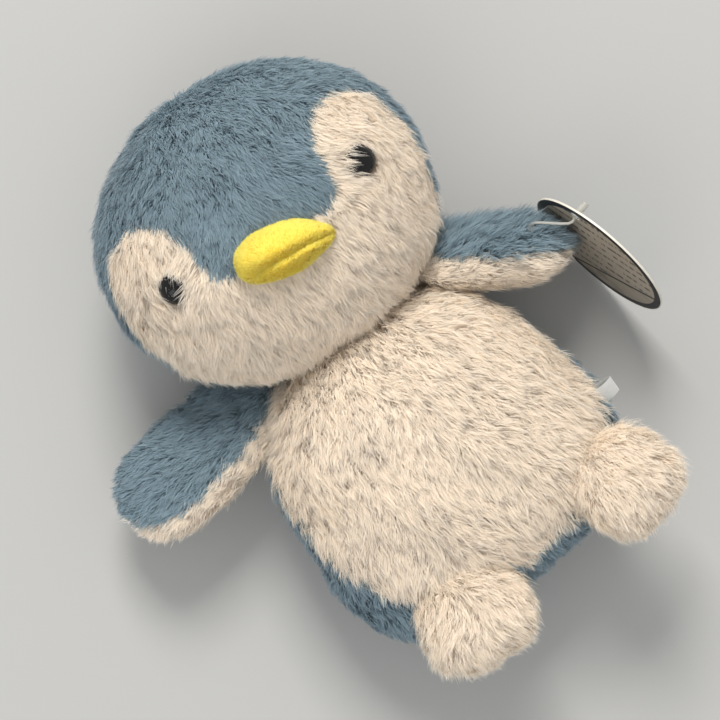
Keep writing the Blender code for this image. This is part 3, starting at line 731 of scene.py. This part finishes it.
# A limb's two panels, the outer or top one first: each is one side of the limb's seam plane.
def makeLimb(kind, side, parts, form, fabrics, piles, others, seed, spread):
    skin = Skin(form, limbInset, segments=80, rings=60, lump=0.0004, lumpSize=0.020, seed=seed)
    low = side.lower()
    for turn, part in enumerate(parts):
        def region(points, sign=1 - 2 * turn):
            return into(form.seam, points)[:, 2] * sign > 0
        nodes = [f"{kind}_{low}_{part.lower()}", *[f"{kind}_{low}_filling"] * (1 - turn)]
        makePanel(kind + side + part, skin, region, limbFlow(form, spread), piles[turn], seed + 1 + turn,
                  fabrics[turn], f"{kind}_{low}", nodes, others)


tagValues = {"centre": (0.0862, 0.0120, 0.0298), "out": (0.97323, 0.12813, -0.19081), "clear": 0.0010,
             "rim": 0.0297, "border": 0.0268, "ring": 0.0180, "divider": -0.0150, "gap": 0.0012,
             "lineHalf": 0.0007, "row": 0.0056, "rowTurn": 30.0, "rowHalf": 0.15, "letters": 620.0,
             "letterEdge": (0.42, 0.54), "shuffle": 7.3, "faded": 0.75, "stains": 130.0,
             "stainEdge": (0.50, 0.72), "stained": 0.35,
             "paper": (158, 148, 133), "ink": (34, 32, 30), "dark": (24, 24, 25), "edge": (206, 201, 190),
             "front": (122, 146, 160)}
tagOut = unit(np.array(tagValues["out"]))
tagWall = (np.array(tagValues["centre"]) - tagOut * tagValues["clear"], tagOut)
wingPile, footPile = values(length=0.0052, tufts=0.36), values(length=0.0072, tufts=0.46)
rightPiles = (values(length=0.0086, lean=0.75, tufts=0.44, wall=tagWall), {**wingPile, "wall": tagWall})
wingRoots, footRoots = [(torso, rootInset), (head, rootInset)], [(torso, rootInset)]
wingParts, wingFabrics, footFabrics = ("Outer", "Inner"), (blueFabric, creamFabric), (creamFabric,) * 2
makeLimb("wing", "Left", wingParts, wingLeft, wingFabrics, (wingPile, wingPile), wingRoots, 41, 20.0)
makeLimb("wing", "Right", wingParts, wingRight, wingFabrics, rightPiles, wingRoots, 51, 20.0)
makeLimb("foot", "Left", ("Top", "Sole"), footLeft, footFabrics, (footPile, footPile), footRoots, 61, 30.0)
makeLimb("foot", "Right", ("Top", "Sole"), footRight, footFabrics, (footPile, footPile), footRoots, 71, 30.0)
print("fabric panels made")


# The neck's filling.
neckValues = {"centre": (-0.0062, 0.0480, 0.0420), "radius": 0.0100}
spherePoints, sphereTriangles = sphereGrid(32, 20)
fibre = Graph("fibre", 1.0).speckle(900.0, (225, 225, 218), (250, 250, 246), 4.0)
neckPoints = spherePoints * neckValues["radius"] + neckValues["centre"]
neck = meshObject("neckFilling", neckPoints, sphereTriangles, fibre)
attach(neck, "neck")
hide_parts("neck_filling")


# The beak: two pads that meet on the mouth.
beakValues = {"at": -0.0152, "half": (0.0195, 0.0108, 0.0138), "turn": -12.6, "forward": (0.0, -0.10, 1.0),
              "slim": 0.30, "blunt": -0.04, "full": 0.26, "lip": 0.86, "sink": 0.001, "mouthDrop": 0.0030,
              "mouthTurn": -6.0, "mouthBend": 0.0034, "mouthCurve": 0.0018, "crease": 0.0026,
              "creaseWidth": 0.0020, "creaseFade": (-0.1, 0.25), "inset": 0.0009, "headInset": 0.0040}


# A drop, blunt on one side and slim on the other, with a crease over the mouth:
# y = py * half * (1 - slim |px|^1.5), and x = px * half * (1 + full * (1 - px^2)) on the blunt side.
class BeakForm:
    def __init__(self, v):
        self.v = v
        seat, angle = onFace(0.0, v["at"]), math.radians(v["turn"])
        cos, sin = math.cos(angle), math.sin(angle)
        along = np.array(((cos, -sin, 0), (sin, cos, 0), (0, 0, 1))) @ seat[:3, 1]
        self.frame = frameAt(seat[:3, 3], along, head.frame[:3, :3] @ np.array(v["forward"]))

    def surface(self, p, inset):
        v, (x, y, z) = self.v, p.T
        wide, high, deep = v["half"]
        slim = 1.0 - np.where(x < 0, v["blunt"], v["slim"]) * np.abs(x) ** 1.5
        lip = np.where(y < 0, v["lip"], 1.0)
        line = y * high + v["mouthDrop"] - v["mouthBend"] * x + v["mouthCurve"] * x ** 2
        mouth = v["crease"] * np.exp(-(line / v["creaseWidth"]) ** 2) * ease(z, *v["creaseFade"])
        full = 1.0 + np.where(x < 0, v["full"], 0.0) * (1.0 - x ** 2)
        place = [x * full * (wide - inset), y * (high * slim * lip - inset),
                 z * (deep * slim - inset) - v["sink"] - mouth]
        return outOf(self.frame, np.stack(place, 1))


beak = BeakForm(beakValues)


# Above the mouth's plane: y + mouthDrop > z * tan(mouthTurn).
def inUpperBeak(points):
    q = into(beak.frame, points)
    return q[:, 1] + beakValues["mouthDrop"] > q[:, 2] * math.tan(math.radians(beakValues["mouthTurn"]))


# The rest of the beak.
def inLowerBeak(points):
    return ~inUpperBeak(points)


beakSkin = Skin(beak, beakValues["inset"], segments=96, rings=64, lump=0.0002, lumpSize=0.012, seed=81)
beakPile = values(length=0.0014, width=0.00022, tufts=2.4, strands=8, spread=0.0004, lean=0.8,
                  swirlSize=0.012)
beakFlow, headHolds = limbFlow(beak, 60.0), [(head, beakValues["headInset"])]
makePanel("beakUpper", beakSkin, inUpperBeak, beakFlow, beakPile, 82, yellowFabric, "head",
          ["beak_upper", "beak_filling"], headHolds)
makePanel("beakLower", beakSkin, inLowerBeak, beakFlow, beakPile, 83, yellowFabric, "head",
          ["beak_lower"], headHolds)


# The eyes.


# A profile of (radius, height) turned about a frame's Z: rings of points and the triangles between them.
def turned(profile, matrix, segments):
    profile = np.array(profile, float)
    turn = (np.arange(segments) * 2 * math.pi / segments)[None, :]
    points = np.stack([profile[:, :1] * np.cos(turn), profile[:, :1] * np.sin(turn),
                       profile[:, 1:] + 0.0 * turn], -1).reshape(-1, 3)
    index = np.arange(len(points)).reshape(len(profile), segments)
    following = np.roll(index, -1, 1)
    a, b, c, d = index[:-1].ravel(), following[:-1].ravel(), following[1:].ravel(), index[1:].ravel()
    points = np.concatenate([points, [(0, 0, profile[0, 1]), (0, 0, profile[-1, 1])]])
    first, last = len(points) - 2, len(points) - 1
    caps = [np.stack([np.full(segments, first), following[0], index[0]], 1),
            np.stack([np.full(segments, last), index[-1], following[-1]], 1)]
    return outOf(matrix, points), np.concatenate([np.stack([a, b, c], 1), np.stack([a, c, d], 1), *caps])


blackPlastic = Graph("blackPlastic", 0.10, IOR=1.36).speckle(400.0, (8, 8, 9), (14, 13, 12))


# A dome, (radius * cos a, height * sin a) less its sink, on a shank that goes into the head.
def makeEye(name, side, node):
    v = eyeValues
    angles = np.radians(np.linspace(0, 88, 14))
    dome = [(v["radius"] * math.cos(a), v["height"] * math.sin(a) - v["sink"]) for a in angles]
    (collar, collarDrop), (brim, brimDrop) = v["collar"], v["brim"]
    under = [(collar, -v["sink"] - collarDrop), (v["radius"] * brim, -v["sink"] - brimDrop)]
    points, triangles = turned(v["shank"] + under + dome, onFace(side * v["at"][0], v["at"][1]), 48)
    made = meshObject(name, points, triangles, blackPlastic)
    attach(made, "head")
    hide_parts(node)


makeEye("eyeLeft", -1, "eye_left")
makeEye("eyeRight", 1, "eye_right")
print("beak and eyes made")


# The tag, its pin and the label.


# Gives a CAD node a material of its own.
def dress(name, material):
    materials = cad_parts[name].data.materials
    materials.clear()
    materials.append(material)


clearNylon = Graph("clearNylon", 0.30, Transmission_Weight=0.55, IOR=1.45)
clearNylon.speckle(300.0, (205, 203, 194), (222, 220, 212))
for name in ("tag_pin", "eye_washer_left", "eye_washer_right"):
    dress(name, clearNylon.material)


# The card: a pale edge, a dark border, rows of blurred marks over a divider, and a plain front with a ring.
def tagMaterial(v):
    graph = Graph("tagCard", 0.45)
    centre, out = np.array(v["centre"]) - origin, tagOut
    level = unit(np.cross((0.0, 0.0, 1.0), out))
    up, turn = np.cross(out, level), math.radians(v["rowTurn"])
    place = graph.place()
    a, b, c = (graph.along(place, centre, direction) for direction in (level, up, out))
    reach = (a * a + b * b) ** 0.5
    across = graph.along(place, centre, level * math.sin(turn) + up * math.cos(turn))
    on = graph.along(place, centre, level * math.cos(turn) - up * math.sin(turn))
    rows = across / v["row"]
    band = abs(rows.fract() - 0.5)
    stretched = graph.node("ShaderNodeCombineXYZ", {}, {0: on * v["letters"], 1: rows.floor() * v["shuffle"]})
    letters = graph.noise(stretched, 1.0, 3.0).rise(*v["letterEdge"])
    split = (a + b) * math.sqrt(0.5)
    marks = letters * band.under(v["rowHalf"]) * split.over(v["divider"] + v["gap"]) * v["faded"]
    stain = graph.noise(place, v["stains"], 1.0).rise(*v["stainEdge"]) * split.under(v["divider"])
    line = abs(split - v["divider"]).under(v["lineHalf"])
    marks = marks.most(stain * v["stained"]).most(line)
    shade = graph.mix(marks, colour(*v["paper"]), colour(*v["ink"]))
    ring = abs(reach - v["ring"]).under(v["lineHalf"])
    front = graph.mix(ring, colour(*v["front"]), colour(*v["edge"]))
    shade = graph.mix(c.over(0.0), shade, front)
    shade = graph.mix(reach.over(v["border"]), shade, colour(*v["dark"]))
    shade = graph.mix(reach.over(v["rim"]), shade, colour(*v["edge"]))
    graph.give("Base Color", shade)
    return graph.material


dress("swing_tag", tagMaterial(tagValues))

labelValues = {"at": -0.0270, "clear": 0.0016, "twist": 50.0, "width": 0.0100, "reach": 0.0094,
               "inside": 0.0030, "fold": 0.0005, "bow": 0.0006, "steps": 40, "power": 1.6}


# The label's place on the torso's seam, its way out, and its layers' normal turned by the twist about that.
def labelFrame(v):
    t, step = torsoValues, 0.001
    heights = (np.array((v["at"], v["at"] + step)) - t["centre"][1]) / t["half"][1]
    wide, further = torso.sizes(heights, 0.0)[0]
    out = unit(np.array((step, wide - further, 0.0)))
    a, b, _ = t["seamNormal"]
    lift = t["seamRise"] - wide * a - (v["at"] - t["centre"][1]) * b
    inward = wide * (1.0 - math.sqrt(1.0 - (lift / t["depth"]) ** 2))
    place = np.array((t["centre"][0] + wide - inward, v["at"], t["centre"][2] + lift)) + out * v["clear"]
    angle, up = math.radians(v["twist"]), np.array((0.0, 0.0, 1.0))
    return place, out, up * math.cos(angle) + np.cross(out, up) * math.sin(angle)


# A strip folded in half out of the seam: two layers that part by the fold's width, and bow a little.
def makeLabel(v):
    centre, direction, normal = labelFrame(v)
    centre = centre - direction * v["inside"]
    t = np.linspace(0.0, 1.0, 2 * v["steps"] + 1)
    out = v["reach"] * (1.0 - np.abs(2.0 * t - 1.0) ** v["power"])
    lift = v["fold"] * np.cos(math.pi * t) + v["bow"] * np.sin(math.pi * out / v["reach"]) * np.sign(0.5 - t)
    side = np.linspace(-0.5, 0.5, 9) * v["width"]
    wide = np.cross(direction, normal)
    points = (centre + out[:, None, None] * direction + lift[:, None, None] * normal
              + side[None, :, None] * wide).reshape(-1, 3)
    index = np.arange(len(points)).reshape(len(t), len(side))
    a, b, c, d = (x.ravel() for x in (index[:-1, :-1], index[1:, :-1], index[1:, 1:], index[:-1, 1:]))
    triangles = np.concatenate([np.stack([a, b, c], 1), np.stack([a, c, d], 1)])
    satin = Graph("satin", 0.35, Sheen_Weight=0.2).speckle(500.0, (214, 216, 214), (232, 233, 230))
    made = meshObject("careLabel", points, triangles, satin)
    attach(made, "torso")
    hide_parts("care_label")


makeLabel(labelValues)
print("tag and label made")


# Floor, light and camera.
stageValues = {"floor": (166, 166, 164), "sky": 0.76, "key": 74.0, "fill": 13.0}
floorMesh = bpy.data.meshes.new("floor")
floorMesh.from_pydata([(-3, -3, 0), (3, -3, 0), (3, 3, 0), (-3, 3, 0)], [], [(0, 1, 2, 3)])
floor = bpy.data.objects.new("floor", floorMesh)
bpy.context.scene.collection.objects.link(floor)
floorMesh.materials.append(Graph("floor", 0.9).give("Base Color", colour(*stageValues["floor"])).material)

bpy.context.scene.view_settings.view_transform = "Standard"
world = bpy.data.worlds.new("studio")
bpy.context.scene.world = world
world.use_nodes = True
world.node_tree.nodes["Background"].inputs["Color"].default_value = (1.0, 1.0, 1.0, 1.0)
world.node_tree.nodes["Background"].inputs["Strength"].default_value = stageValues["sky"]


# A square area light at a place, aimed at the object's middle.
def softLight(name, place, size, power, tint=(1.0, 1.0, 1.0)):
    light = bpy.data.lights.new(name, "AREA")
    light.size, light.energy, light.color = size, power, tint
    made = bpy.data.objects.new(name, light)
    away = np.array(place) - (0.0, 0.0, 0.04)
    made.matrix_world = Matrix(frameAt(place, np.cross(away, (1.0, 0.2, 0.1)), away).tolist())
    bpy.context.scene.collection.objects.link(made)


softLight("keyLight", (1.00, 1.55, 1.95), 1.00, stageValues["key"], (1.0, 0.97, 0.93))
softLight("fillLight", (-1.60, -0.60, 1.60), 1.60, stageValues["fill"], (0.93, 0.97, 1.0))

cameraValues = {"height": 1.500, "aim": (0.0019, -0.0008), "lens": 197.0, "turn": -41.0}
camera = bpy.data.cameras.new("camera")
camera.lens = cameraValues["lens"]
cameraObject = bpy.data.objects.new("camera", camera)
cameraObject.location = (*cameraValues["aim"], cameraValues["height"])
cameraObject.rotation_euler = (0.0, 0.0, math.radians(cameraValues["turn"]))
bpy.context.scene.collection.objects.link(cameraObject)
bpy.context.scene.camera = cameraObject
